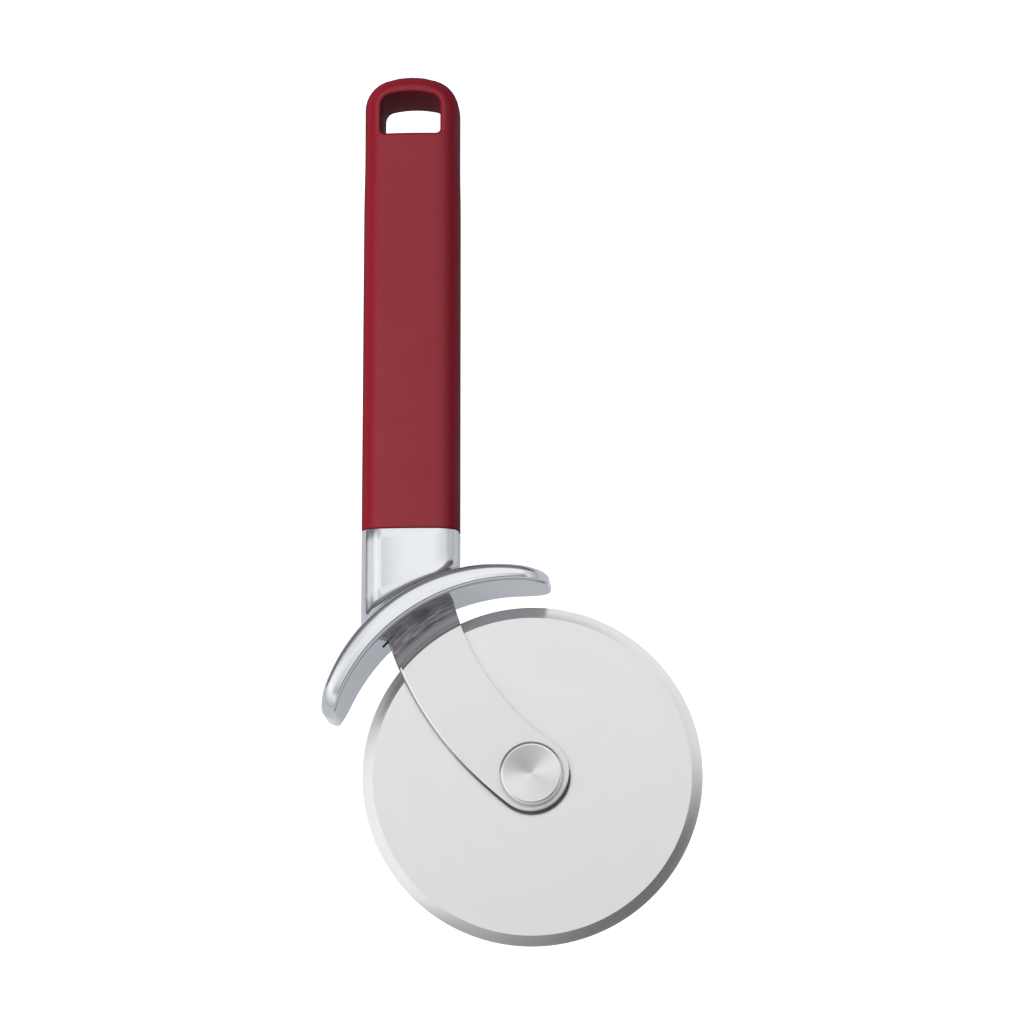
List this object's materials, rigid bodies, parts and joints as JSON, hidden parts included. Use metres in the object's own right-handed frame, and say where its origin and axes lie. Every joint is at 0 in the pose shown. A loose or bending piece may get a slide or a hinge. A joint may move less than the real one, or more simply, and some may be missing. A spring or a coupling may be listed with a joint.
{
  "type": "pizza cutter",
  "caption": "Hand-held pizza cutter with a round steel blade turning in a curved fork, a cast finger guard and ferrule, and a straight handle with a hanging hole.",
  "frame": {"origin": "under the middle of the tool, on the plane that its guard's flat back lies on", "axes": "+Y along the handle, from the wheel to the hanging hole; +Z out of the wheel's front face, along its axle; +X to the side that the wheel is offset to"},
  "size_m": [0.1004, 0.2356, 0.031],
  "materials": {
    "grip_plastic": "matte, soft touch",
    "core_plastic": "plain moulded",
    "cast_metal": "satin chrome on a zinc casting",
    "blade_steel": "fine satin, ground bevel",
    "arm_steel": "fine satin",
    "cap_steel": "turned face, polished chamfer",
    "inner_steel": "plain",
    "bush_plastic": "plain moulded"
  },
  "bodies": {
    "handle_assembly": {"handle_grip": "grip_plastic", "handle_core": "core_plastic", "core_pins": "inner_steel", "ferrule_guard": "cast_metal", "spigot_pin": "inner_steel", "tang_rivets": "inner_steel", "front_arm": "arm_steel", "rear_arm": "arm_steel", "axle_rivet": "inner_steel", "axle_sleeve": "inner_steel", "front_washer": "inner_steel", "rear_washer": "inner_steel", "front_cap": "cap_steel", "rear_cap": "cap_steel"},
    "wheel": {"wheel_blade": "blade_steel", "wheel_bush": "bush_plastic"}
  },
  "joints": [
    {"name": "wheel_spin", "type": "hinge", "parent": "handle_assembly", "child": "wheel", "pos_m": [0.0052, -0.07278, 0.0155], "axis": [0, 0, 1], "continuous": true}
  ]
}
